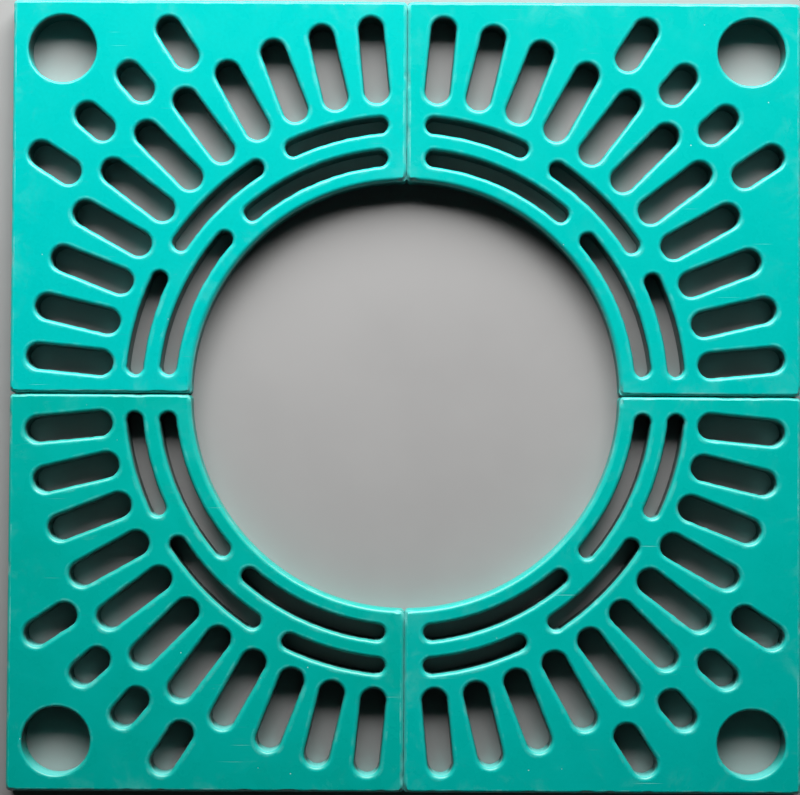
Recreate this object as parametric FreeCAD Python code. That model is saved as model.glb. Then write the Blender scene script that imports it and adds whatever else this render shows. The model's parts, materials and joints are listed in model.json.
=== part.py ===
"""Tree grate of four quarter panels that lie butted round a tree.

Each panel is one resin composite moulding: a square plate with a quarter circle taken out of its
inner corner, two rows of curved slots round the trunk, a fan of long radial slots, four short
slots staggered behind them and a round hole for a tree stake near the outer corner.  A mat of
steel bars is moulded into each panel.  The panels are alike, each a quarter turn from the last.

Millimetres.  +Z is up, +Y is north, and the origin is on the ground at the middle of the opening.
A panel is drawn in its own axes: the origin is the inner corner of its top face, produced to a
point over the opening, x and y run out along its two seams, and z is height above the ground.
"""
import FreeCAD, Part
import math
import os

from FreeCAD import Vector

# Whole grate
GRATE_SIDE = 800.0            # across the foot of two panels
PANEL_THICKNESS = 25.0
PANEL_CLEARANCE = 0.3         # between the feet of two neighbouring panels
TREE_OPENING_RADIUS = 216.4   # at the top face

# Moulding
SIDE_DRAFT = 0.5              # degrees, the outer faces lean in towards the top
SLOT_DRAFT = 1.0              # degrees, the slots narrow towards the bottom
EDGE_RADIUS = 3.5             # round along the top of the outer faces
CORNER_FLAT_RADIUS = 1.0      # round left on the flat at an upright corner, inside the edge round
LIP_RADIUS = 3.5              # round along the top of slots and hole

# Curved slots, in two rows round the opening
RIM_LAND = 16.5               # solid rim between the opening and the inner row
ARC_SLOT_WIDTH = 16.0
ARC_LAND = 17.5               # between the two rows
ARC_SEAM_MARGIN = 19.1        # from a seam to the end of a curved slot
INNER_BRIDGE = 23.3           # between the two slots of the inner row
OUTER_BRIDGE = 27.2           # between neighbours of the three slots of the outer row
OUTER_BRIDGE_STEP = 2         # long slots from the diagonal to an outer bridge

# Radial slots
FAN_LAND = 15.0               # between the outer row and the long slots
SLOT_WIDTH = 25.0
LONG_SLOT_COUNT = 11          # odd, the middle one lies on the diagonal
SLOT_SEAM_MARGIN = 18.0       # from a seam to the nearest long slot, at its inner end
SLOT_EDGE_MARGIN = 14.8       # from the outer face to the reach of the long slots
STAGGER_LAND = 12.0           # between the reach of the long slots and the short slots
SHORT_SLOTS = ((0.5, 45.0), (1.5, 58.0))   # pitches off the diagonal, and length

# Stake hole
STAKE_HOLE_RADIUS = 34.0
STAKE_HOLE_INSET = 50.0       # from the top edge of each outer face to the middle of the hole

# Reinforcing mat
BAR_DIAMETER = 6.0
BAR_BOTTOM_COVER = 5.0
BAR_LAYER_GAP = 0.5           # resin between the hoops and the bars laid across them
BAR_END_COVER = 10.0          # from a seam to the end of a bar
EDGE_BAR_BEND = 20.0          # centreline radius at the outer corner
SPOKE_STEPS = (2.5, 3.5, 4.5)     # pitches off the diagonal of the webs that hold a spoke

CUT_OVERRUN = 1.0             # how far cutters stand past the faces that they cut

# Worked out from the sizes above
DIAGONAL = 45.0
SIDE_LEAN = PANEL_THICKNESS * math.tan(math.radians(SIDE_DRAFT))
SEAM_GAP = PANEL_CLEARANCE + 2 * SIDE_LEAN
PANEL_SIDE = (GRATE_SIDE - PANEL_CLEARANCE) / 2 - 2 * SIDE_LEAN
CORNER_RADIUS = EDGE_RADIUS + CORNER_FLAT_RADIUS
INNER_ROW_RADIUS = TREE_OPENING_RADIUS + RIM_LAND + ARC_SLOT_WIDTH / 2
OUTER_ROW_RADIUS = INNER_ROW_RADIUS + ARC_SLOT_WIDTH + ARC_LAND
LONG_SLOT_START = OUTER_ROW_RADIUS + ARC_SLOT_WIDTH / 2 + FAN_LAND
LONG_SLOT_END = PANEL_SIDE - SLOT_EDGE_MARGIN
SHORT_SLOT_START = LONG_SLOT_END + STAGGER_LAND
STAKE_HOLE_PLACE = PANEL_SIDE - STAKE_HOLE_INSET
RIM_HOOP_RADIUS = TREE_OPENING_RADIUS + RIM_LAND / 2
INNER_HOOP_RADIUS = INNER_ROW_RADIUS + ARC_SLOT_WIDTH / 2 + ARC_LAND / 2
OUTER_HOOP_RADIUS = LONG_SLOT_START - FAN_LAND / 2
EDGE_BAR_PLACE = PANEL_SIDE - SLOT_EDGE_MARGIN / 2
HOOP_HEIGHT = BAR_BOTTOM_COVER + BAR_DIAMETER / 2
SPOKE_HEIGHT = HOOP_HEIGHT + BAR_DIAMETER + BAR_LAYER_GAP

PANEL_NAMES = ("north_east", "north_west", "south_west", "south_east")
QUARTER_TURN = 90.0


def angle_for_offset(offset, radius):
    """Angle in degrees at which a point at this radius stands this far off a straight line."""
    return math.degrees(math.asin(offset / radius))


def polar(radius, angle, height):
    turn = math.radians(angle)
    return Vector(radius * math.cos(turn), radius * math.sin(turn), height)


def slot_pitch():
    """Angle between long slots, which fan evenly between the two seams."""
    first = angle_for_offset(SLOT_SEAM_MARGIN + SLOT_WIDTH / 2, LONG_SLOT_START + SLOT_WIDTH / 2)
    return (DIAGONAL - first) / ((LONG_SLOT_COUNT - 1) / 2)


# Outlines

def panel_wire(height):
    """Outline of a panel at a height: two seams, two outer faces and the quarter circle."""
    spread = (PANEL_THICKNESS - height) * math.tan(math.radians(SIDE_DRAFT))
    low = -spread
    high = PANEL_SIDE + spread
    radius = TREE_OPENING_RADIUS - spread
    tip = math.sqrt(radius ** 2 - spread ** 2)
    corners = [
        Vector(tip, low, height),
        Vector(high, low, height),
        Vector(high, high, height),
        Vector(low, high, height),
        Vector(low, tip, height),
    ]
    sides = [Part.LineSegment(a, b).toShape() for a, b in zip(corners, corners[1:])]
    quarter = Part.Arc(corners[-1], polar(radius, DIAGONAL, height), corners[0]).toShape()
    return Part.Wire(sides + [quarter])


def radial_slot_wire(start, end, angle, inset, height):
    """Round-ended slot along a radius, drawn in by the inset on every side."""
    half = SLOT_WIDTH / 2 - inset
    near = polar(start + SLOT_WIDTH / 2, angle, height)
    far = polar(end - SLOT_WIDTH / 2, angle, height)
    along = polar(half, angle, 0)
    across = polar(half, angle + QUARTER_TURN, 0)
    return Part.Wire([
        Part.LineSegment(near - across, far - across).toShape(),
        Part.Arc(far - across, far + along, far + across).toShape(),
        Part.LineSegment(far + across, near + across).toShape(),
        Part.Arc(near + across, near - along, near - across).toShape(),
    ])


def curved_slot_wire(radius, start, end, inset, height):
    """Round-ended slot along a circle, between the middles of its ends, drawn in by the inset."""
    half = ARC_SLOT_WIDTH / 2 - inset
    middle = (start + end) / 2
    past_end = polar(half, end + QUARTER_TURN, 0)
    past_start = polar(half, start - QUARTER_TURN, 0)
    inner = [polar(radius - half, angle, height) for angle in (start, middle, end)]
    outer = [polar(radius + half, angle, height) for angle in (end, middle, start)]
    return Part.Wire([
        Part.Arc(*inner).toShape(),
        Part.Arc(inner[2], polar(radius, end, height) + past_end, outer[0]).toShape(),
        Part.Arc(*outer).toShape(),
        Part.Arc(outer[2], polar(radius, start, height) + past_start, inner[0]).toShape(),
    ])


def drafted_cutter(outline):
    """Solid that cuts a slot through the panel, narrowing towards the bottom by the slot draft."""
    slope = math.tan(math.radians(SLOT_DRAFT))
    top = PANEL_THICKNESS + CUT_OVERRUN
    bottom = -CUT_OVERRUN
    wires = [outline((PANEL_THICKNESS - height) * slope, height) for height in (bottom, top)]
    return Part.makeLoft(wires, True, True)


# Slots of one panel

def curved_slot_cutters():
    cutters = []
    half = ARC_SLOT_WIDTH / 2
    seam_end = ARC_SEAM_MARGIN + half

    first = angle_for_offset(seam_end, INNER_ROW_RADIUS)
    last = DIAGONAL - angle_for_offset(INNER_BRIDGE / 2 + half, INNER_ROW_RADIUS)
    inner_row = [(first, last), (2 * DIAGONAL - last, 2 * DIAGONAL - first)]

    first = angle_for_offset(seam_end, OUTER_ROW_RADIUS)
    bridge = DIAGONAL - OUTER_BRIDGE_STEP * slot_pitch()
    beside_bridge = angle_for_offset(OUTER_BRIDGE / 2 + half, OUTER_ROW_RADIUS)
    last = bridge - beside_bridge
    middle = bridge + beside_bridge
    outer_row = [
        (first, last),
        (middle, 2 * DIAGONAL - middle),
        (2 * DIAGONAL - last, 2 * DIAGONAL - first),
    ]

    for radius, row in ((INNER_ROW_RADIUS, inner_row), (OUTER_ROW_RADIUS, outer_row)):
        for start, end in row:
            cutters.append(drafted_cutter(
                lambda inset, height: curved_slot_wire(radius, start, end, inset, height)))
    return cutters


def radial_slot_cutters():
    pitch = slot_pitch()
    middle = (LONG_SLOT_COUNT - 1) / 2
    slots = [(LONG_SLOT_START, LONG_SLOT_END, step - middle) for step in range(LONG_SLOT_COUNT)]
    for step, length in SHORT_SLOTS:
        for side in (-1, 1):
            slots.append((SHORT_SLOT_START, SHORT_SLOT_START + length, side * step))

    cutters = []
    for start, end, step in slots:
        angle = DIAGONAL + step * pitch
        cutters.append(drafted_cutter(
            lambda inset, height: radial_slot_wire(start, end, angle, inset, height)))
    return cutters


def stake_hole_cutter():
    foot = Vector(STAKE_HOLE_PLACE, STAKE_HOLE_PLACE, -CUT_OVERRUN)
    return Part.makeCylinder(STAKE_HOLE_RADIUS, PANEL_THICKNESS + 2 * CUT_OVERRUN, foot)


# Moulding

def is_upright(edge):
    return edge.BoundBox.ZLength > PANEL_THICKNESS / 2


def top_face(shape):
    return max(shape.Faces, key=lambda face: face.CenterOfMass.z)


def moulding():
    """One panel without its bars."""
    plate = Part.makeLoft([panel_wire(0.0), panel_wire(PANEL_THICKNESS)], True, True)
    plate = plate.makeFillet(CORNER_RADIUS, [edge for edge in plate.Edges if is_upright(edge)])
    plate = plate.makeFillet(EDGE_RADIUS, top_face(plate).OuterWire.Edges)
    plate = plate.cut(curved_slot_cutters() + radial_slot_cutters() + [stake_hole_cutter()])
    face = top_face(plate)
    lips = [wire for wire in face.Wires if not wire.isSame(face.OuterWire)]
    return plate.makeFillet(LIP_RADIUS, [edge for wire in lips for edge in wire.Edges])


# Reinforcing mat of one panel

def hoop_bar(radius):
    """Bar bent to a quarter circle round the opening."""
    first = angle_for_offset(BAR_END_COVER, radius)
    ring = Part.makeCircle(BAR_DIAMETER / 2, Vector(radius, 0, HOOP_HEIGHT), Vector(0, 1, 0))
    bar = Part.Face(Part.Wire(ring)).revolve(Vector(), Vector(0, 0, 1), 2 * (DIAGONAL - first))
    bar.rotate(Vector(), Vector(0, 0, 1), first)
    return bar


def straight_bar(start, end):
    return Part.makeCylinder(BAR_DIAMETER / 2, (end - start).Length, start, end - start)


def radial_bar(start, end, angle):
    return straight_bar(polar(start, angle, SPOKE_HEIGHT), polar(end, angle, SPOKE_HEIGHT))


def hoop_bars():
    return [hoop_bar(radius) for radius in (RIM_HOOP_RADIUS, INNER_HOOP_RADIUS, OUTER_HOOP_RADIUS)]


def link_bars():
    """Short bars across the bridges between curved slots, from hoop to hoop."""
    past = BAR_DIAMETER / 2
    off_diagonal = OUTER_BRIDGE_STEP * slot_pitch()
    bars = [radial_bar(RIM_HOOP_RADIUS - past, INNER_HOOP_RADIUS + past, DIAGONAL)]
    for angle in (DIAGONAL - off_diagonal, DIAGONAL + off_diagonal):
        bars.append(radial_bar(INNER_HOOP_RADIUS - past, OUTER_HOOP_RADIUS + past, angle))
    return bars


def spoke_bars():
    """Bars in the webs between long slots, from the outer hoop to the edge bar."""
    bars = []
    for step in SPOKE_STEPS:
        off_diagonal = step * slot_pitch()
        reach = EDGE_BAR_PLACE / math.cos(math.radians(DIAGONAL - off_diagonal))
        for angle in (DIAGONAL - off_diagonal, DIAGONAL + off_diagonal):
            bars.append(radial_bar(OUTER_HOOP_RADIUS - BAR_DIAMETER / 2, reach, angle))
    return bars


def edge_bar():
    """Bar along both outer faces, bent at the outer corner."""
    bend_place = EDGE_BAR_PLACE - EDGE_BAR_BEND
    centre = Vector(bend_place, bend_place, HOOP_HEIGHT)
    ring = Part.makeCircle(
        BAR_DIAMETER / 2, Vector(EDGE_BAR_PLACE, bend_place, HOOP_HEIGHT), Vector(0, 1, 0))
    bend = Part.Face(Part.Wire(ring)).revolve(centre, Vector(0, 0, 1), QUARTER_TURN)
    first_leg = straight_bar(
        Vector(EDGE_BAR_PLACE, BAR_END_COVER, HOOP_HEIGHT),
        Vector(EDGE_BAR_PLACE, bend_place, HOOP_HEIGHT))
    second_leg = straight_bar(
        Vector(bend_place, EDGE_BAR_PLACE, HOOP_HEIGHT),
        Vector(BAR_END_COVER, EDGE_BAR_PLACE, HOOP_HEIGHT))
    return [first_leg.fuse([bend, second_leg]).removeSplitter()]


# Assembly

def set_in_place(shape, quarter):
    """Copy of a panel's piece, moved clear of the seams and turned to its quarter of the grate."""
    placed = shape.copy()
    placed.translate(Vector(SEAM_GAP / 2, SEAM_GAP / 2, 0))
    placed.rotate(Vector(), Vector(0, 0, 1), quarter * QUARTER_TURN)
    return placed


def main():
    os.makedirs("parts", exist_ok=True)
    mat = {
        "hoop_bars": hoop_bars(),
        "link_bars": link_bars(),
        "spoke_bars": spoke_bars(),
        "edge_bar": edge_bar(),
    }
    pieces = {"panel": moulding().cut([bar for bars in mat.values() for bar in bars])}
    pieces.update({name: Part.makeCompound(bars) for name, bars in mat.items()})
    for quarter, corner in enumerate(PANEL_NAMES):
        for name, shape in pieces.items():
            set_in_place(shape, quarter).exportStep(f"parts/{corner}_{name}.step")


main()
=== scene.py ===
# Looks of the tree grate: four worn teal composite panels on a pale floor, seen from above
import json
import math
import random

import bpy
import numpy as np
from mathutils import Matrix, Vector, noise
from mathutils.geometry import delaunay_2d_cdt


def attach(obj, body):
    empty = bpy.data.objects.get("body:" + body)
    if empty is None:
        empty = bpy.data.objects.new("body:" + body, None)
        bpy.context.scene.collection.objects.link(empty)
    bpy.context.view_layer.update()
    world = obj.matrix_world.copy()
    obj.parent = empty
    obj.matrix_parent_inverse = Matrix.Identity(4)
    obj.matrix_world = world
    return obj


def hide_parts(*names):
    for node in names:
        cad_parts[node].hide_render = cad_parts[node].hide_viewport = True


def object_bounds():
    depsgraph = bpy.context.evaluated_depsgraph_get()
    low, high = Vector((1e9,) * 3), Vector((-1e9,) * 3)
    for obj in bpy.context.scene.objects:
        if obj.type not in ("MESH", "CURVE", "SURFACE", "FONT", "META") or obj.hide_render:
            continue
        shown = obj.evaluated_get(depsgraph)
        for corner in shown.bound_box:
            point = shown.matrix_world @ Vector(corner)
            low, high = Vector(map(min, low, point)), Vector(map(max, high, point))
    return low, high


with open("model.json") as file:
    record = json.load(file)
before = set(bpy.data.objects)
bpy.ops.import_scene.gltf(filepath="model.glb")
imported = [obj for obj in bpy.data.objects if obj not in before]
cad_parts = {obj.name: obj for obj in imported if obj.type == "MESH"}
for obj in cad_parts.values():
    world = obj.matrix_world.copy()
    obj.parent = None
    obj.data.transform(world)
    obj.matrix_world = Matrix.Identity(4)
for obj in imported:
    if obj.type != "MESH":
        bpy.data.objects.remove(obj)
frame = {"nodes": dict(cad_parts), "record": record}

cad_low, cad_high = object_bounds()
MM = 0.001
HALF_TURN = math.pi
QUARTER_TURN = math.pi / 2
DIAGONAL = math.pi / 4

# Sizes of a panel, with its lips and edges rounded as wear has left them
THICKNESS = cad_high.z - cad_low.z
PANEL_CLEARANCE = 0.3 * MM
OPENING_RADIUS = 216.4 * MM
SIDE_SLOPE = math.tan(math.radians(0.5))
SLOT_SLOPE = math.tan(math.radians(1.0))
EDGE_RADIUS = 3.5 * MM
CORNER_RADIUS = EDGE_RADIUS + 1.0 * MM
LIP_RADIUS = 4.2 * MM
HOLE_LIP_RADIUS = 3.0 * MM
RIM_RADIUS = 4.7 * MM
RIM_LAND = 16.5 * MM
ARC_SLOT_WIDTH = 16.0 * MM
ARC_LAND = 17.5 * MM
ARC_SEAM_MARGIN = 19.1 * MM
INNER_BRIDGE = 23.3 * MM
OUTER_BRIDGE = 27.2 * MM
OUTER_BRIDGE_STEP = 2
FAN_LAND = 15.0 * MM
SLOT_WIDTH = 25.0 * MM
LONG_SLOT_COUNT = 11
SLOT_SEAM_MARGIN = 18.0 * MM
SLOT_EDGE_MARGIN = 14.8 * MM
STAGGER_LAND = 12.0 * MM

# Steps from the diagonal and length of the short slots on either side of it
SHORT_SLOTS = ((0.5, 45.0 * MM), (1.5, 58.0 * MM))

# Worked out from the sizes above
SIDE_LEAN = THICKNESS * SIDE_SLOPE
SEAM_GAP = PANEL_CLEARANCE + 2 * SIDE_LEAN
PANEL_SIDE = (cad_high.x - cad_low.x - PANEL_CLEARANCE) / 2 - 2 * SIDE_LEAN
INNER_ROW_RADIUS = OPENING_RADIUS + RIM_LAND + ARC_SLOT_WIDTH / 2
OUTER_ROW_RADIUS = INNER_ROW_RADIUS + ARC_SLOT_WIDTH + ARC_LAND
LONG_SLOT_START = OUTER_ROW_RADIUS + ARC_SLOT_WIDTH / 2 + FAN_LAND
LONG_SLOT_END = PANEL_SIDE - SLOT_EDGE_MARGIN
SHORT_SLOT_START = LONG_SLOT_END + STAGGER_LAND
SLOT_STEPS = (LONG_SLOT_COUNT - 1) / 2
FIRST_SLOT_ANGLE = math.asin((SLOT_SEAM_MARGIN + SLOT_WIDTH / 2) / (LONG_SLOT_START + SLOT_WIDTH / 2))
SLOT_PITCH = (DIAGONAL - FIRST_SLOT_ANGLE) / SLOT_STEPS

# Stake hole, from the record's own mount
mounts = {mount["name"]: mount for mount in frame["record"]["mounts"]}
stake_mount = mounts["stake_hole_north_east"]
STAKE_HOLE_RADIUS = stake_mount["dims"]["r_mm"] * MM
STAKE_HOLE_PLACE = stake_mount["pos_m"][0] - SEAM_GAP / 2

# How finely the mesh follows the shape
EDGE_SPACING = 2.0 * MM
SLOT_SPACING = 2.5 * MM
ARC_STEP = math.radians(10)
BLENDED_POINTS = 3
LIP_STEPS = 6
FIRST_LIP_ROW = 2
LAST_LIP_ROW = FIRST_LIP_ROW + LIP_STEPS
WALL_STEPS = 4
LAST_ROW = LAST_LIP_ROW + WALL_STEPS + 2
LIP_BORDER = 0.1 * MM
OUTLINE_SHOULDER = 0.1 * MM
SLOT_SHOULDER = 1.7 * MM
JOINT_LINE = 0.5 * MM
FOOT_BEVEL = 0.4 * MM
TOP_GRID = 7.0 * MM
GRID_CLEARANCE = 3.0 * MM
FILL_TOLERANCE = 1e-6
POINTS_AT_A_TIME = 500
SHARP_ANGLE = math.radians(40)

# Slope of the wall, width of the flat ring round the lip and spacing of points, for each kind of loop
LOOP_KINDS = {
    "outline": (SIDE_SLOPE, OUTLINE_SHOULDER, EDGE_SPACING),
    "slot": (SLOT_SLOPE, SLOT_SHOULDER, SLOT_SPACING),
    "hole": (0.0, SLOT_SHOULDER, SLOT_SPACING),
}

# Unevenness of the mouldings and of how they lie
WAVE_HEIGHT = 0.12 * MM
WAVE_LENGTH = 120.0 * MM
WAVE_START = 0.8
SLOT_WOBBLE = 0.55 * MM
OUTLINE_WOBBLE = 0.18 * MM
WOBBLE_LENGTH = 7.0 * MM
NORTH_SOUTH_SEAM_GAP = 0.1 * MM
EAST_WEST_SEAM_GAP = 1.3 * MM

# Wear: how far it reaches from the edges and tips, and over which share of a lip or of the rim it lies
EDGE_FADE = 16.0 * MM
TIP_FADE = 26.0 * MM
LIP_WEAR = 0.5
RIM_WEAR = (0.4, 0.8)

# Knocks on the edges, corners and slots of a panel, with widths and depths in millimetres
EDGE_KNOCKS = 22
EDGE_KNOCK_WIDTHS = (4, 11)
EDGE_KNOCK_DEPTHS = (0.2, 0.8)
CORNER_BEND = 0.1
CORNER_KNOCK_STRAY = (-3, 3)
CORNER_KNOCK_WIDTHS = (4, 7)
CORNER_KNOCK_DEPTHS = (0.2, 0.7)
MOST_SLOT_KNOCKS = 2
SLOT_KNOCK_WIDTHS = (4, 9)
SLOT_KNOCK_DEPTHS = (0.1, 0.35)
DEEPEST_KNOCK = 0.8 * MM
KNOCK_PUSH = 0.7
FIRST_KNOCK_SEED = 11

# The panels in turn, a quarter turn apart, and how bright each one is painted: painted light, brighter on
# the north panels than on the south ones
CORNERS = ("north_east", "north_west", "south_west", "south_east")
PAINTED_FALLOFF_TONES = (0.74, 1.0, 0.0, 0.36)

# Colours of the composite, clean, worn and dirty, with the painted light and shade on it
# Painted light and shade: the south panels are painted darker and the north ones brighter
PAINTED_SHADE_TEAL = (0.0, 0.392, 0.318, 1)
PAINTED_LIGHT_TEAL = (0.0, 0.492, 0.462, 1)
CLOUD_TEAL = (0.0, 0.50, 0.460, 1)
PATCH_TEAL = (0.0, 0.52, 0.475, 1)
GRAIN_TEAL = (0.0, 0.41, 0.360, 1)
# Painted shade on the outer parts of the panels
OUTER_SHADE_TEAL = (0.0, 0.27, 0.230, 1)
SCUFF = (0.24, 0.64, 0.60, 1)
SCRATCH = (0.42, 0.74, 0.70, 1)
SPECK = (0.62, 0.78, 0.74, 1)
# Painted highlight that widens the glow of the lips, with a little rub
CREST_GLOW_AND_RUB = (0.010, 0.60, 0.56, 1)
WORN_LIP = (0.30, 0.70, 0.66, 1)
WORN_EDGE = (0.36, 0.68, 0.65, 1)
MOULD_LINE = (0.50, 0.66, 0.62, 1)
KNOCK = (0.40, 0.72, 0.69, 1)
DUST = (0.30, 0.50, 0.48, 1)
# Painted light on the rounded ends that face the lamp
PAINTED_LIT_WALL = (0.16, 0.66, 0.62, 1)
# Painted shade on walls facing away from the lamp and low in the slots
PAINTED_WALL_SHADE = (0.014, 0.026, 0.024, 1)
SEAM_DUST = (0.12, 0.46, 0.44, 1)
DARK_UNDERSIDE = (0.02, 0.22, 0.20, 1)
PALE_UNDERSIDE = (0.06, 0.30, 0.27, 1)

# Colours of the steel bars
DARK_SCALE = (0.20, 0.20, 0.21, 1)
PALE_SCALE = (0.36, 0.36, 0.36, 1)
RUST = (0.23, 0.09, 0.035, 1)

# Distances over which the outer parts of the panels are painted darker, as painted shade, in metres from
# the middle of the grate
OUTER_SHADE_REACH = (0.20, 0.56)

# Directions in degrees and sizes of the smears and fine scratches, and how far apart specks can lie
SMEAR_TURN = 24
SMEAR_SIZE = (50 * MM, 12 * MM, 50 * MM)
SCRATCH_TURNS = (17, -58, 81)
SCRATCH_SIZE = (90 * MM, 1.6 * MM, 1.0)
FIRST_SCRATCH_SEED = 6.0
FIRST_SCRATCH_FIELD_SEED = 16.0
SPECK_SPACING = 16 * MM

# Floor and backdrop, and the distances over which the floor glows with the backdrop's brightness, a
# painted glow and no lamp, in metres
FLOOR_HALF = 6.0
DARK_FLOOR = (0.335, 0.330, 0.327, 1)
PALE_FLOOR = (0.365, 0.360, 0.356, 1)
BACKDROP = (0.62, 0.62, 0.61, 1)
BACKDROP_REACH = (0.7, 1.9)

# Dim light from all round: full up to one height of the sky and none from another, where straight up is 1
FILL_COLOUR = (0.97, 0.99, 1.0, 1)
FILL_STRENGTH = 0.03
FULL_FILL_HEIGHT = 0.25
NO_FILL_HEIGHT = 0.95

# Lamp, in metres and watts
LAMP_PLACE = (0.0, 2.05, 1.14)
LAMP_AIM = (0.0, 0.26, 0.0)
LAMP_WIDTH = 2.8
LAMP_HEIGHT = 1.36
LAMP_POWER = 163.0

# Camera, with its sensor and lens in millimetres, its place in metres and its turn in degrees
SENSOR_WIDTH = 36.0
LENS = 84.6
CAMERA_PLACE = (-0.0100, -0.0529, 1.9225)
CAMERA_TURN = (1.519, -0.144, 0.315)


# Paths

class Line:
    def __init__(self, start, end):
        self.start = np.array(start, float)
        self.run = np.array(end, float) - self.start
        self.length = float(np.hypot(*self.run))
        self.turn = 0.0

    def at(self, share):
        """Point at a share of the way, and the direction to its right."""
        along = self.run / self.length
        return self.start + self.run * share, np.array((along[1], -along[0]))


class Arc:
    def __init__(self, centre, radius, first, last):
        self.centre = np.array(centre, float)
        self.radius = radius
        self.first = first
        self.turn = last - first
        self.length = abs(self.turn) * radius

    def at(self, share):
        """Point at a share of the way, and the direction to its right."""
        angle = self.first + self.turn * share
        radial = np.array((math.cos(angle), math.sin(angle)))
        return self.centre + radial * self.radius, radial * math.copysign(1.0, self.turn)


class Loop:
    """A closed outline on the top face.  The panel's material is always to the right of it."""

    def __init__(self, kind, path, lips):
        self.kind = kind
        self.slope, self.shoulder, spacing = LOOP_KINDS[kind]
        points, rights, runs, rounds, ends = [], [], [], [], []
        run = 0.0
        for piece, lip in zip(path, lips):
            steps = max(math.ceil(piece.length / spacing), math.ceil(abs(piece.turn) / ARC_STEP), 1)
            for step in range(steps):
                point, right = piece.at(step / steps)
                points.append(point)
                rights.append(right)
                runs.append(run + piece.length * step / steps)
                rounds.append(lip)
                ends.append(float(math.isclose(abs(piece.turn), HALF_TURN)))
            run += piece.length
        self.points = np.array(points)
        self.rights = np.array(rights)
        self.runs = np.array(runs)
        self.length = run
        self.ends = np.array(ends)
        shifts = range(-BLENDED_POINTS, BLENDED_POINTS + 1)
        self.lips = np.mean([np.roll(rounds, shift) for shift in shifts], axis=0)
        self.first_point = 0

    def profile(self):
        """Rows from the top face down to the foot: inset into the panel, height, share of the lip."""
        flat_top = THICKNESS + 0 * self.lips
        rows = [
            (self.lips + LIP_BORDER + self.shoulder, flat_top, 0.0),
            (self.lips + LIP_BORDER, flat_top, 0.0),
        ]
        for step in range(LIP_STEPS + 1):
            angle = QUARTER_TURN * step / LIP_STEPS
            height = THICKNESS - self.lips * (1 - math.cos(angle))
            rows.append((self.lips * (1 - math.sin(angle)), height, step / LIP_STEPS))
        rows.append((0.0, THICKNESS - self.lips - JOINT_LINE, 1.0))
        for step in range(1, WALL_STEPS + 1):
            height = (THICKNESS - self.lips) * (1 - step / WALL_STEPS)
            rows.append((0.0, np.maximum(height, FOOT_BEVEL), 1.0))
        rows.append((FOOT_BEVEL, 0 * self.lips, 1.0))
        return [(inset - (THICKNESS - height) * self.slope, height, lip) for inset, height, lip in rows]

    def row(self, number):
        """Where the points of one row lie among all the points of the panel."""
        count = len(self.points)
        start = self.first_point + number * count
        return slice(start, start + count)


def polar(radius, angle):
    return np.array((radius * math.cos(angle), radius * math.sin(angle)))


def panel_outline():
    side, corner = PANEL_SIDE, CORNER_RADIUS
    tip_angle = math.asin(corner / (OPENING_RADIUS + corner))
    tip = (OPENING_RADIUS + corner) * math.cos(tip_angle)
    far = side - corner
    return [
        Arc((0, 0), OPENING_RADIUS, tip_angle, QUARTER_TURN - tip_angle),
        Arc((corner, tip), corner, 3 * QUARTER_TURN - tip_angle, HALF_TURN),
        Line((0, tip), (0, far)),
        Arc((corner, far), corner, HALF_TURN, QUARTER_TURN),
        Line((corner, side), (far, side)),
        Arc((far, far), corner, QUARTER_TURN, 0),
        Line((side, far), (side, corner)),
        Arc((far, corner), corner, 0, -QUARTER_TURN),
        Line((far, 0), (tip, 0)),
        Arc((tip, corner), corner, -QUARTER_TURN, tip_angle - HALF_TURN),
    ]


def radial_slot(start, end, angle):
    half = SLOT_WIDTH / 2
    near = polar(start + half, angle)
    far = polar(end - half, angle)
    across = polar(half, angle + QUARTER_TURN)
    return [
        Line(near - across, far - across),
        Arc(far, half, angle - QUARTER_TURN, angle + QUARTER_TURN),
        Line(far + across, near + across),
        Arc(near, half, angle + QUARTER_TURN, angle + 3 * QUARTER_TURN),
    ]


def curved_slot(radius, start, end):
    half = ARC_SLOT_WIDTH / 2
    return [
        Arc((0, 0), radius + half, start, end),
        Arc(polar(radius, end), half, end, end + HALF_TURN),
        Arc((0, 0), radius - half, end, start),
        Arc(polar(radius, start), half, start + HALF_TURN, start + 2 * HALF_TURN),
    ]


def curved_slots():
    """Two slots in the inner row, either side of the diagonal, and three in the outer row."""
    half = ARC_SLOT_WIDTH / 2
    first = math.asin((ARC_SEAM_MARGIN + half) / INNER_ROW_RADIUS)
    last = DIAGONAL - math.asin((INNER_BRIDGE / 2 + half) / INNER_ROW_RADIUS)
    inner_spans = ((first, last), (QUARTER_TURN - last, QUARTER_TURN - first))

    first = math.asin((ARC_SEAM_MARGIN + half) / OUTER_ROW_RADIUS)
    bridge = DIAGONAL - OUTER_BRIDGE_STEP * SLOT_PITCH
    beside = math.asin((OUTER_BRIDGE / 2 + half) / OUTER_ROW_RADIUS)
    outer_spans = (
        (first, bridge - beside),
        (bridge + beside, QUARTER_TURN - bridge - beside),
        (QUARTER_TURN - bridge + beside, QUARTER_TURN - first),
    )
    return ([curved_slot(INNER_ROW_RADIUS, *span) for span in inner_spans]
            + [curved_slot(OUTER_ROW_RADIUS, *span) for span in outer_spans])


def radial_slots():
    """The fan of long slots, then the short slots staggered behind it."""
    slots = []
    for number in range(LONG_SLOT_COUNT):
        angle = DIAGONAL + (number - SLOT_STEPS) * SLOT_PITCH
        slots.append(radial_slot(LONG_SLOT_START, LONG_SLOT_END, angle))
    for step, length in SHORT_SLOTS:
        for side in (-1, 1):
            angle = DIAGONAL + side * step * SLOT_PITCH
            slots.append(radial_slot(SHORT_SLOT_START, SHORT_SLOT_START + length, angle))
    return slots


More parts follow.
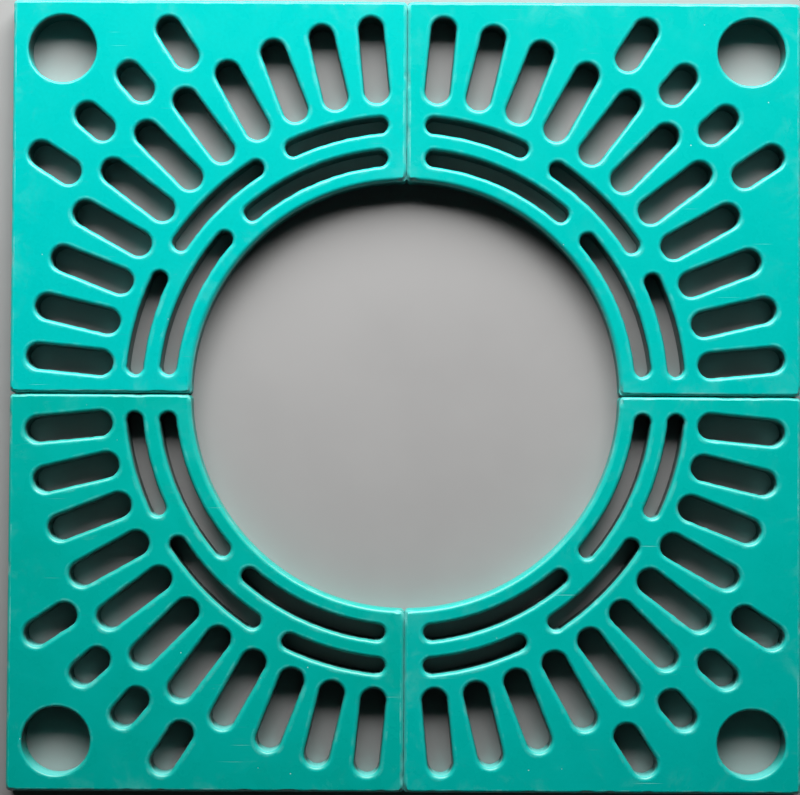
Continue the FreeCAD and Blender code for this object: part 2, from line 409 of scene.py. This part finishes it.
def panel_loops():
    """The panel's outline first, then every slot and the stake hole."""
    outline = panel_outline()
    rounds = [RIM_RADIUS] + [EDGE_RADIUS] * (len(outline) - 1)
    loops = [Loop("outline", outline, rounds)]
    for path in curved_slots() + radial_slots():
        loops.append(Loop("slot", path, [LIP_RADIUS] * len(path)))
    stake_hole = Arc((STAKE_HOLE_PLACE, STAKE_HOLE_PLACE), STAKE_HOLE_RADIUS, 0, 2 * HALF_TURN)
    loops.append(Loop("hole", [stake_hole], [HOLE_LIP_RADIUS]))
    return loops


# Panel mesh

def on_material(points, rings):
    """True for each point that lies on the panel: inside its outline and in none of its holes."""
    odd = np.zeros(len(points), bool)
    x, y = points[:, 0], points[:, 1]
    for ring in rings:
        for (ax, ay), (bx, by) in zip(ring, np.roll(ring, -1, axis=0)):
            crosses = (ay > y) != (by > y)
            if crosses.any():
                odd ^= crosses & (x < ax + (y - ay) * (bx - ax) / (by - ay))
    return odd


def nearest_distance(points, targets):
    """Distance from each point to the nearest target, worked out in blocks."""
    found = []
    for first in range(0, len(points), POINTS_AT_A_TIME):
        block = points[first:first + POINTS_AT_A_TIME]
        gaps = np.linalg.norm(block[:, None, :] - targets[None, :, :], axis=2)
        found.append(gaps.min(axis=1))
    return np.concatenate(found)


def face_triangles(rings):
    """Grid points and triangles that fill the panel's face between the rings."""
    borders = np.concatenate(rings)
    steps = np.arange(0.0, PANEL_SIDE, TOP_GRID) + TOP_GRID / 2
    grid = np.array([(x, y) for x in steps for y in steps])
    grid = grid[on_material(grid, rings)]
    grid = grid[nearest_distance(grid, borders) > GRID_CLEARANCE]
    points = np.concatenate((borders, grid))
    edges, first = [], 0
    for ring in rings:
        count = len(ring)
        edges += [(first + i, first + (i + 1) % count) for i in range(count)]
        first += count
    flat = [Vector(point) for point in points / MM]
    _, _, faces, sources, _, _ = delaunay_2d_cdt(flat, edges, [], 0, FILL_TOLERANCE)
    index = [source[0] for source in sources]
    triangles = np.array([[index[i] for i in face] for face in faces])
    triangles = triangles[on_material(points[triangles].mean(axis=1), rings)]
    a, b, c = (points[triangles[:, i]] for i in range(3))
    doubled_area = (b - a)[:, 0] * (c - a)[:, 1] - (b - a)[:, 1] * (c - a)[:, 0]
    face_down = doubled_area < 0
    triangles[face_down] = triangles[face_down][:, ::-1]
    return grid, triangles


class PanelShape:
    """The one mesh that all four panels are made from, in a panel's own axes, with marks for its wear."""

    MARKS = ("lip", "crest", "joint", "under", "slot", "hole", "end", "trunk", "outer")

    def __init__(self):
        self.loops = panel_loops()
        self.faces = []
        self.size = 0
        self.place_rows = []
        self.mark_rows = {name: [] for name in self.MARKS}
        rings = [self.add_loop(loop) for loop in self.loops]
        self.add_flat_faces(rings)

        self.places = np.concatenate(self.place_rows)
        self.marks = {name: np.concatenate(rows) for name, rows in self.mark_rows.items()}
        flat = self.places[:, :2]
        tips = np.array(((0.0, OPENING_RADIUS), (OPENING_RADIUS, 0.0)))
        self.marks["rim"] = np.exp(-nearest_distance(flat, self.loops[0].points) / EDGE_FADE)
        self.marks["tip"] = np.exp(-(nearest_distance(flat, tips) / TIP_FADE) ** 2)

    def add_points(self, flat, height, marks):
        """Points at a height, with their marks.  A mark that isn't given is 0."""
        count = len(flat)
        self.place_rows.append(np.c_[flat, np.broadcast_to(height, count)])
        for name, rows in self.mark_rows.items():
            rows.append(np.full(count, marks.get(name, 0.0), float))
        self.size += count

    def add_loop(self, loop):
        """The lip and wall of one loop, from the top face to the foot.  Gives its ring on the top face."""
        loop.first_point = self.size
        count = len(loop.points)
        outer = loop.kind == "outline"
        in_slot = loop.kind == "slot"
        in_hole = loop.kind == "hole"
        trunk = np.zeros(count)
        if outer:
            trunk = np.clip((loop.lips - EDGE_RADIUS) / (RIM_RADIUS - EDGE_RADIUS), 0, 1)
        first_row = len(self.place_rows)
        for row, (inset, height, lip) in enumerate(loop.profile()):
            start_worn = max(1 - lip / LIP_WEAR, 0) if row else 0.0
            foot_worn = np.interp(lip, RIM_WEAR, (0.0, 1.0)) * (row <= LAST_LIP_ROW)
            flat = loop.points + loop.rights * np.broadcast_to(inset, count)[:, None]
            self.add_points(flat, height, {
                "lip": lip,
                "crest": start_worn + (foot_worn - start_worn) * trunk,
                "joint": in_slot and row == LAST_LIP_ROW,
                "under": row == LAST_ROW,
                "slot": in_slot,
                "hole": in_hole,
                "end": np.maximum(loop.ends, in_hole),
                "trunk": trunk,
                "outer": outer,
            })
        for row in range(LAST_ROW):
            here = loop.first_point + row * count
            for i in range(count):
                after = (i + 1) % count
                self.faces.append((here + i, here + after, here + count + after, here + count + i))
        return self.place_rows[first_row][:, :2]

    def add_flat_faces(self, rings):
        """The top face and the underside, on one grid of triangles between the loops."""
        grid, triangles = face_triangles(rings)
        on_loops = np.arange(self.size)
        for row, height, under in ((0, THICKNESS, 0.0), (LAST_ROW, 0.0, 1.0)):
            on_grid = np.arange(self.size, self.size + len(grid))
            index = np.concatenate([on_loops[loop.row(row)] for loop in self.loops] + [on_grid])
            self.add_points(grid, height, {"lip": under, "under": under})
            filled = index[triangles]
            self.faces += (filled[:, ::-1] if under else filled).tolist()


def drawn_knock(draw, run, widths, depths):
    """Place along the edge, half width and depth of one knock."""
    return run, draw.uniform(*widths) * MM, draw.uniform(*depths) * MM


def edge_knocks(draw, loop):
    """Knocks along the seams and the outer edges of a panel, and at its corners."""
    rim_length = panel_outline()[0].length
    knocks = [
        drawn_knock(draw, draw.uniform(rim_length, loop.length), EDGE_KNOCK_WIDTHS, EDGE_KNOCK_DEPTHS)
        for _ in range(EDGE_KNOCKS)]
    bends = np.abs(np.diff(loop.rights, axis=0, append=loop.rights[:1])).max(axis=1)
    corners = loop.runs[bends > CORNER_BEND]
    for run in corners[::2]:
        place = run + draw.uniform(*CORNER_KNOCK_STRAY) * MM
        knocks.append(drawn_knock(draw, place, CORNER_KNOCK_WIDTHS, CORNER_KNOCK_DEPTHS))
    return knocks


def slot_knocks(draw, loop):
    """A few knocks, or none, along the lip of a slot or a stake hole."""
    return [
        drawn_knock(draw, draw.uniform(0, loop.length), SLOT_KNOCK_WIDTHS, SLOT_KNOCK_DEPTHS)
        for _ in range(draw.randint(0, MOST_SLOT_KNOCKS))]


def knock_chips(shape, places, seed):
    """Small knocks along the rounded edges: pushes the lip in, and gives how much at each point."""
    draw = random.Random(seed)
    chipped = np.zeros(len(places))
    for loop in shape.loops:
        knocks = edge_knocks(draw, loop) if loop.kind == "outline" else slot_knocks(draw, loop)
        for run, width, depth in knocks:
            gap = np.abs(loop.runs - run)
            gap = np.minimum(gap, loop.length - gap)
            dent = np.clip(1 - (gap / width) ** 2, 0, 1)
            for step in range(1, LIP_STEPS + 1):
                pushed = dent * depth * math.sin(math.pi * step / (LIP_STEPS + 1))
                index = loop.row(FIRST_LIP_ROW + step)
                places[index, :2] += loop.rights * (pushed * KNOCK_PUSH)[:, None]
                places[index, 2] -= pushed * KNOCK_PUSH
                chipped[index] = np.maximum(chipped[index], pushed / DEEPEST_KNOCK)
    return chipped


def wobble_lips(shape, places, seed):
    """Uneven hand finish: the foot of each lip strays in and out a little along the edge."""
    for loop in shape.loops:
        stray = np.array([
            noise.noise(Vector((x / WOBBLE_LENGTH, y / WOBBLE_LENGTH, seed)))
            for x, y in loop.points])
        stray *= OUTLINE_WOBBLE if loop.kind == "outline" else SLOT_WOBBLE
        for step in range(1, LIP_STEPS + 2):
            share = min(step / LIP_STEPS, 1.0)
            places[loop.row(FIRST_LIP_ROW + step), :2] += loop.rights * (stray * share)[:, None]


def fit_seam(shape, places, axis, gap):
    """Sets the side that lies at zero on an axis to its gap, and gives which points are beside it."""
    loop = shape.loops[0]
    facing = np.clip(loop.rights[:, axis], 0, 1) * (loop.points[:, axis] < CORNER_RADIUS)
    facing *= loop.points[:, 1 - axis] > OPENING_RADIUS
    limit = (gap - SEAM_GAP) / 2
    beside = np.zeros(len(places))
    for row in range(LAST_ROW + 1):
        share = np.clip((row - FIRST_LIP_ROW) / LIP_STEPS, 0, 1)
        index = loop.row(row)
        moved = np.maximum(places[index, axis] + limit * share, limit)
        places[index, axis] += (moved - places[index, axis]) * facing
        beside[index] = facing
    return beside


def shaded_walls(shape, turn):
    """How far each wall faces south, away from the light, where the walls get painted shade: 0 to 1."""
    shaded = np.zeros(shape.size)
    for loop in shape.loops:
        south = loop.rights[:, 0] * math.sin(turn) + loop.rights[:, 1] * math.cos(turn)
        for row in range(LAST_ROW + 1):
            shaded[loop.row(row)] = 0.5 + 0.5 * south
    return shaded


def wave(places):
    """Slow rise and fall of a moulded face, from the noise at each point."""
    return np.array([noise.noise(Vector(place) / WAVE_LENGTH) for place in places])


def panel_places(shape, number):
    """Points of one panel in its place on the grate, and all its marks."""
    places = shape.places.copy()
    wobble_lips(shape, places, number)
    closed = fit_seam(shape, places, number % 2, NORTH_SOUTH_SEAM_GAP)
    fit_seam(shape, places, 1 - number % 2, EAST_WEST_SEAM_GAP)
    chipped = knock_chips(shape, places, number + FIRST_KNOCK_SEED)
    places[:, :2] += SEAM_GAP / 2
    turn = number * QUARTER_TURN
    x, y = places[:, 0].copy(), places[:, 1].copy()
    places[:, 0] = x * math.cos(turn) - y * math.sin(turn)
    places[:, 1] = x * math.sin(turn) + y * math.cos(turn)
    upper = np.clip((places[:, 2] / THICKNESS - WAVE_START) / (1 - WAVE_START), 0, 1)
    places[:, 2] -= upper * WAVE_HEIGHT * (0.5 + 0.5 * wave(places))
    marks = {
        **shape.marks,
        "seam": closed,
        "chip": chipped,
        "depth": 1 - shape.places[:, 2] / THICKNESS,
        # Painted light: how bright this panel is painted
        "painted_falloff": np.full(shape.size, PAINTED_FALLOFF_TONES[number]),
        "shaded": shaded_walls(shape, turn),
    }
    return places, marks


def make_panel(shape, number, material):
    corner = CORNERS[number]
    places, marks = panel_places(shape, number)
    mesh = bpy.data.meshes.new(f"{corner}_panel_moulding")
    mesh.from_pydata(places.tolist(), [], shape.faces)
    mesh.polygons.foreach_set("use_smooth", np.ones(len(mesh.polygons), bool))
    mesh.set_sharp_from_angle(angle=SHARP_ANGLE)
    for name, values in marks.items():
        mark = mesh.attributes.new(name, "FLOAT", "POINT")
        mark.data.foreach_set("value", values.astype(np.float32))
    mesh.materials.append(material)
    mesh.update()
    panel = bpy.data.objects.new(mesh.name, mesh)
    bpy.context.scene.collection.objects.link(panel)
    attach(panel, f"{corner}_quarter")
    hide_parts(f"{corner}_panel")


# Materials

class Look:
    """Look of one material, built by short calls.  A value is a number, a colour or a node's output."""

    def __init__(self, name):
        self.material = bpy.data.materials.new(name)
        self.material.use_nodes = True
        self.tree = self.material.node_tree
        self.surface = self.tree.nodes["Principled BSDF"]
        self.place = self.tree.nodes.new("ShaderNodeTexCoord").outputs["Object"]
        self.colour = None

    def add(self, kind, values, output, **settings):
        node = self.tree.nodes.new(kind)
        for name, value in settings.items():
            setattr(node, name, value)
        for socket, value in values.items():
            self.feed(node.inputs[socket], value)
        return node.outputs[output]

    def feed(self, socket, value):
        if isinstance(value, bpy.types.NodeSocket):
            self.tree.links.new(value, socket)
        else:
            socket.default_value = value

    def set(self, **values):
        for name, value in values.items():
            self.feed(self.surface.inputs[name.replace("_", " ")], value)

    def mark(self, name):
        """Value that the mesh carries at each point."""
        return self.add("ShaderNodeAttribute", {}, "Fac", attribute_name=name)

    def reach(self):
        """Distance from the middle of the grate."""
        return self.add("ShaderNodeVectorMath", {0: self.place}, "Value", operation="LENGTH")

    def stretched(self, turn, size):
        """Coordinates turned by some degrees and drawn out to a size along each axis."""
        return self.add("ShaderNodeMapping", {
            "Vector": self.place, "Rotation": (0, 0, math.radians(turn)),
            "Scale": [1 / length for length in size]}, "Vector")

    def noise(self, size, seed, detail=2.0, rough=0.5, warp=0.0, place=None):
        return self.add("ShaderNodeTexNoise", {
            "Vector": place or self.place, "W": seed, "Scale": 1 / size, "Detail": detail,
            "Roughness": rough, "Distortion": warp}, "Fac", noise_dimensions="4D")

    def between(self, value, low, high):
        """Soft step from 0 at the low end to 1 at the high end."""
        return self.add("ShaderNodeMapRange", {"Value": value, "From Min": low, "From Max": high},
                        "Result", interpolation_type="SMOOTHSTEP")

    def patchy(self, size, seed, detail, rough, low, high):
        """Noise cut into soft patches, from 0 to 1."""
        return self.between(self.noise(size, seed, detail, rough), low, high)

    def ramp(self, value, low, high):
        """Spreads a value of 0 to 1 evenly from the low end to the high end."""
        return self.add("ShaderNodeMapRange", {"Value": value, "To Min": low, "To Max": high}, "Result")

    def math(self, operation, first, second):
        return self.add("ShaderNodeMath", {0: first, 1: second}, 0, operation=operation, use_clamp=True)

    def inverse(self, value):
        return self.math("SUBTRACT", 1.0, value)

    def times(self, *values):
        result = values[0]
        for value in values[1:]:
            result = self.math("MULTIPLY", result, value)
        return result

    def most(self, *values):
        result = values[0]
        for value in values[1:]:
            result = self.math("MAXIMUM", result, value)
        return result

    def mix(self, share, first, second):
        """Mix of two colours, by the colour sockets of Blender's Mix node."""
        return self.add("ShaderNodeMix", {0: share, 6: first, 7: second}, 2, data_type="RGBA")

    def tint(self, colour, mask, share):
        """Mixes a share of another colour into the material's colour where the mask is high."""
        self.colour = self.mix(self.times(mask, share), self.colour, colour)

    def bump(self, height, distance, strength, under=None):
        values = {"Height": height, "Distance": distance, "Strength": strength}
        if under is not None:
            values["Normal"] = under
        return self.add("ShaderNodeBump", values, "Normal")


def mottle_and_painted_falloff(look):
    """Each panel's painted light, brighter on the north panels, with clouds, patches and grain, and
    painted shade towards its outer edges.
    """
    painted_falloff = look.mark("painted_falloff")
    clouds = look.patchy(110 * MM, seed=1.0, detail=4.0, rough=0.55, low=0.30, high=0.70)
    patches = look.patchy(30 * MM, seed=2.0, detail=3.0, rough=0.6, low=0.30, high=0.70)
    grain = look.patchy(3.5 * MM, seed=3.0, detail=3.0, rough=0.65, low=0.25, high=0.75)
    # Painted shade: the outer parts are painted darker, most on the south panels
    outer_shade = look.ramp(painted_falloff, 0.40, 0.07)
    # Painted light and shade between the north and the south panels
    look.colour = look.mix(painted_falloff, PAINTED_SHADE_TEAL, PAINTED_LIGHT_TEAL)
    look.tint(CLOUD_TEAL, clouds, share=0.30)
    look.tint(PATCH_TEAL, patches, share=0.25)
    look.tint(GRAIN_TEAL, grain, share=0.30)
    look.tint(OUTER_SHADE_TEAL, look.between(look.reach(), *OUTER_SHADE_REACH), share=outer_shade)
    return patches, grain


def add_scuffs(look, grain):
    """Scuffs on the face, which gather along the edges and at the tips beside the trunk opening."""
    field = look.noise(45 * MM, seed=4.0, detail=5.0, rough=0.7, warp=0.6)
    drawn_out = look.stretched(SMEAR_TURN, SMEAR_SIZE)
    smear = look.noise(1.0, seed=5.0, detail=4.0, rough=0.7, place=drawn_out)
    at_edges = look.times(look.between(field, 0.50, 0.74), look.mark("rim"), 0.5)
    at_tips = look.times(look.between(field, 0.36, 0.70), look.mark("tip"), 0.4)
    elsewhere = look.times(look.between(smear, 0.60, 0.78), look.between(field, 0.50, 0.66), 0.55)
    on_face = look.inverse(look.between(look.mark("lip"), 0.05, 0.40))
    scuffs = look.times(look.most(at_edges, at_tips, elsewhere), look.between(grain, -0.5, 0.6), on_face)
    look.tint(SCUFF, scuffs, share=0.42)
    return scuffs


def add_scratches(look):
    """Fine scratches in three directions."""
    found = []
    for number, turn in enumerate(SCRATCH_TURNS):
        drawn_out = look.stretched(turn, SCRATCH_SIZE)
        lines = look.noise(1.0, FIRST_SCRATCH_SEED + number, detail=1.0, rough=0.4, place=drawn_out)
        field_seed = FIRST_SCRATCH_FIELD_SEED + number
        field = look.patchy(80 * MM, field_seed, detail=2.0, rough=0.5, low=0.50, high=0.66)
        found.append(look.times(look.between(lines, 0.735, 0.80), field))
    scratches = look.most(*found)
    look.tint(SCRATCH, scratches, share=0.42)
    return scratches


def add_specks(look):
    """Small pale specks, in about a fifth of the cells of a loose pattern."""
    cells = look.tree.nodes.new("ShaderNodeTexVoronoi")
    look.feed(cells.inputs["Vector"], look.place)
    look.feed(cells.inputs["Scale"], 1 / SPECK_SPACING)
    lot = look.add("ShaderNodeSeparateColor", {0: cells.outputs["Color"]}, 0)
    near_middle = look.inverse(look.between(cells.outputs["Distance"], 0.020, 0.050))
    specks = look.times(near_middle, look.between(lot, 0.80, 0.84))
    look.tint(SPECK, specks, share=0.75)
    return specks


def add_lip_glow_and_wear(look):
    """Lips painted brighter along their crest as a painted highlight with a little rub, paler in patches,
    a mould line in the slots, and knocks.
    """
    crest = look.mark("crest")
    rubbed = look.patchy(18 * MM, seed=20.0, detail=4.0, rough=0.7, low=0.48, high=0.70)
    edge_rubbed = look.patchy(30 * MM, seed=26.0, detail=4.0, rough=0.7, low=0.50, high=0.68)
    broken = look.patchy(11 * MM, seed=25.0, detail=3.0, rough=0.6, low=0.38, high=0.60)
    ragged = look.patchy(4 * MM, seed=21.0, detail=3.0, rough=0.7, low=0.30, high=0.60)
    knocked = look.times(look.mark("chip"), ragged)
    # Painted highlight along the crest, with a little rub
    look.tint(CREST_GLOW_AND_RUB, crest, share=0.12)
    look.tint(WORN_LIP, look.times(crest, rubbed), share=0.18)
    look.tint(WORN_EDGE, look.times(crest, look.mark("outer"), edge_rubbed), share=0.34)
    look.tint(MOULD_LINE, look.times(look.mark("joint"), broken), share=0.35)
    look.tint(KNOCK, knocked, share=0.50)
    return knocked


def add_dirt_light_and_shade(look):
    """Dust under the lips and in the closed seams, painted light on the ends facing the lamp, painted
    shade down the walls, and a dull underside.
    """
    lip, slot = look.mark("lip"), look.mark("slot")
    depth, shaded = look.mark("depth"), look.mark("shaded")
    dusty = look.patchy(12 * MM, seed=22.0, detail=4.0, rough=0.65, low=0.20, high=0.70)
    look.tint(DUST, look.times(slot, look.between(lip, 0.60, 1.00), dusty), share=0.30)

    # Painted light: rounded ends that face the lamp are painted paler
    lit_ends = look.times(look.mark("end"), look.inverse(look.between(shaded, 0.04, 0.30)))
    look.tint(PAINTED_LIT_WALL, look.times(lit_ends, look.between(lip, 0.45, 0.85)), share=0.50)

    # Painted shade on walls that face away from the light, and low on the other walls of the slots
    away = look.between(shaded, 0.15, 0.60)
    away_shade = look.times(look.most(slot, look.mark("hole")), away, look.between(lip, 0.35, 0.85))
    low_wall_shade = look.times(slot, look.between(depth, 0.16, 0.42), look.inverse(lit_ends))
    trunk_wall_shade = look.times(look.mark("trunk"), look.between(depth, 0.20, 0.40), away, 0.8)
    uneven = look.patchy(15 * MM, seed=27.0, detail=4.0, rough=0.65, low=-0.20, high=0.45)
    look.tint(PAINTED_WALL_SHADE, look.times(look.most(away_shade, low_wall_shade, trunk_wall_shade), uneven), share=0.94)

    packed = look.patchy(20 * MM, seed=23.0, detail=3.0, rough=0.5, low=0.15, high=0.5)
    look.tint(SEAM_DUST, look.times(look.mark("seam"), look.between(lip, 0.25, 0.75), packed), share=0.60)
    cast = look.patchy(25 * MM, seed=24.0, detail=4.0, rough=0.6, low=0.35, high=0.65)
    look.tint(look.mix(cast, DARK_UNDERSIDE, PALE_UNDERSIDE), look.mark("under"), share=0.55)


def composite_material():
    """Teal resin composite: mottled, with painted light and shade, lips with a painted highlight and rub,
    scuffs, fine scratches, specks and dust.
    """
    look = Look("worn_teal_composite")
    patches, grain = mottle_and_painted_falloff(look)
    scuffs = add_scuffs(look, grain)
    scratches = add_scratches(look)
    specks = add_specks(look)
    knocked = add_lip_glow_and_wear(look)
    add_dirt_light_and_shade(look)

    # The walked face reflects little, and the rounded lips have a soft sheen
    rounded = look.between(look.mark("lip"), 0.0, 0.3)
    worn = look.most(scuffs, scratches, look.times(rounded, 0.60), knocked, look.mark("under"))
    rough = look.ramp(look.math("ADD", look.times(worn, 0.7), look.times(patches, 0.3)), 0.25, 0.50)
    sheen = look.ramp(rounded, 0.12, 0.65)

    peel = look.bump(look.noise(2.4 * MM, seed=30.0), distance=0.12 * MM, strength=0.35)
    ripple = look.bump(look.noise(12 * MM, seed=31.0), distance=0.3 * MM, strength=0.30, under=peel)
    cuts = look.most(scratches, specks, knocked)
    relief = look.bump(cuts, distance=-0.2 * MM, strength=0.5, under=ripple)
    look.set(Base_Color=look.colour, Roughness=rough, Normal=relief, Specular_IOR_Level=sheen)
    return look.material


def steel_material():
    """Dull drawn steel with rust blooms and grey mill scale."""
    look = Look("mill_steel_bar")
    scale = look.patchy(6 * MM, seed=1.0, detail=4.0, rough=0.6, low=0.35, high=0.65)
    bloom = look.patchy(20 * MM, seed=2.0, detail=5.0, rough=0.7, low=0.52, high=0.66)
    pits = look.noise(1.2 * MM, seed=3.0, detail=2.0, rough=0.6)
    look.colour = look.mix(scale, DARK_SCALE, PALE_SCALE)
    look.tint(RUST, bloom, share=0.8)
    metal = look.inverse(look.times(bloom, 0.85))
    rough = look.ramp(look.most(bloom, pits), 0.34, 0.8)
    relief = look.bump(pits, distance=0.2 * MM, strength=0.5)
    look.set(Base_Color=look.colour, Metallic=metal, Roughness=rough, Normal=relief)
    return look.material


def floor_material():
    """Pale floor, which glows with the backdrop's brightness away from the grate: a painted glow, no lamp.
    """
    look = Look("pale_floor")
    mottled = look.patchy(250 * MM, seed=1.0, detail=4.0, rough=0.55, low=0.30, high=0.70)
    colour = look.mix(mottled, DARK_FLOOR, PALE_FLOOR)
    rough = look.ramp(mottled, 0.70, 0.85)
    glow = look.between(look.reach(), *BACKDROP_REACH)
    look.set(Base_Color=colour, Roughness=rough, Specular_IOR_Level=0.2,
             Emission_Color=BACKDROP, Emission_Strength=glow)
    return look.material


# Stage

def make_floor():
    half = FLOOR_HALF
    mesh = bpy.data.meshes.new("floor")
    mesh.from_pydata([(-half, -half, 0), (half, -half, 0), (half, half, 0), (-half, half, 0)],
                     [], [(0, 1, 2, 3)])
    mesh.materials.append(floor_material())
    floor = bpy.data.objects.new("floor", mesh)
    floor.location.z = cad_low.z
    bpy.context.scene.collection.objects.link(floor)


def make_lamp():
    """One soft lamp north of the grate."""
    lamp = bpy.data.lights.new("key", "AREA")
    lamp.shape = "RECTANGLE"
    lamp.size = LAMP_WIDTH
    lamp.size_y = LAMP_HEIGHT
    lamp.energy = LAMP_POWER
    box = bpy.data.objects.new("key", lamp)
    box.location = LAMP_PLACE
    box.rotation_euler = (Vector(LAMP_AIM) - Vector(LAMP_PLACE)).to_track_quat("-Z", "Y").to_euler()
    bpy.context.scene.collection.objects.link(box)


def make_world():
    """Dim fill, weaker from straight above, and a pale backdrop where the camera sees past the floor."""
    world = bpy.data.worlds.new("studio")
    bpy.context.scene.world = world
    world.use_nodes = True
    nodes, links = world.node_tree.nodes, world.node_tree.links
    place = nodes.new("ShaderNodeTexCoord")
    axes = nodes.new("ShaderNodeSeparateXYZ")
    links.new(place.outputs["Generated"], axes.inputs[0])
    rise = nodes.new("ShaderNodeMapRange")
    links.new(axes.outputs["Z"], rise.inputs["Value"])
    rise.inputs["From Min"].default_value = FULL_FILL_HEIGHT
    rise.inputs["From Max"].default_value = NO_FILL_HEIGHT
    rise.inputs["To Min"].default_value = FILL_STRENGTH
    rise.inputs["To Max"].default_value = 0.0
    fill = nodes["Background"]
    fill.inputs["Color"].default_value = FILL_COLOUR
    links.new(rise.outputs["Result"], fill.inputs["Strength"])
    backdrop = nodes.new("ShaderNodeBackground")
    backdrop.inputs["Color"].default_value = BACKDROP
    seen = nodes.new("ShaderNodeLightPath")
    mixed = nodes.new("ShaderNodeMixShader")
    links.new(seen.outputs["Is Camera Ray"], mixed.inputs[0])
    links.new(fill.outputs[0], mixed.inputs[1])
    links.new(backdrop.outputs[0], mixed.inputs[2])
    links.new(mixed.outputs[0], nodes["World Output"].inputs["Surface"])


def make_camera():
    lens = bpy.data.cameras.new("camera")
    lens.sensor_width = SENSOR_WIDTH
    lens.lens = LENS
    camera = bpy.data.objects.new("camera", lens)
    camera.location = CAMERA_PLACE
    camera.rotation_euler = [math.radians(angle) for angle in CAMERA_TURN]
    bpy.context.scene.collection.objects.link(camera)
    bpy.context.scene.camera = camera


composite = composite_material()
panel_shape = PanelShape()
for quarter in range(len(CORNERS)):
    make_panel(panel_shape, quarter, composite)

steel = steel_material()
for name, node in frame["nodes"].items():
    if name.endswith(("_bar", "_bars")):
        for material_slot in node.material_slots:
            material_slot.material = steel

make_floor()
make_lamp()
make_world()
make_camera()
bpy.context.scene.view_settings.view_transform = "Standard"
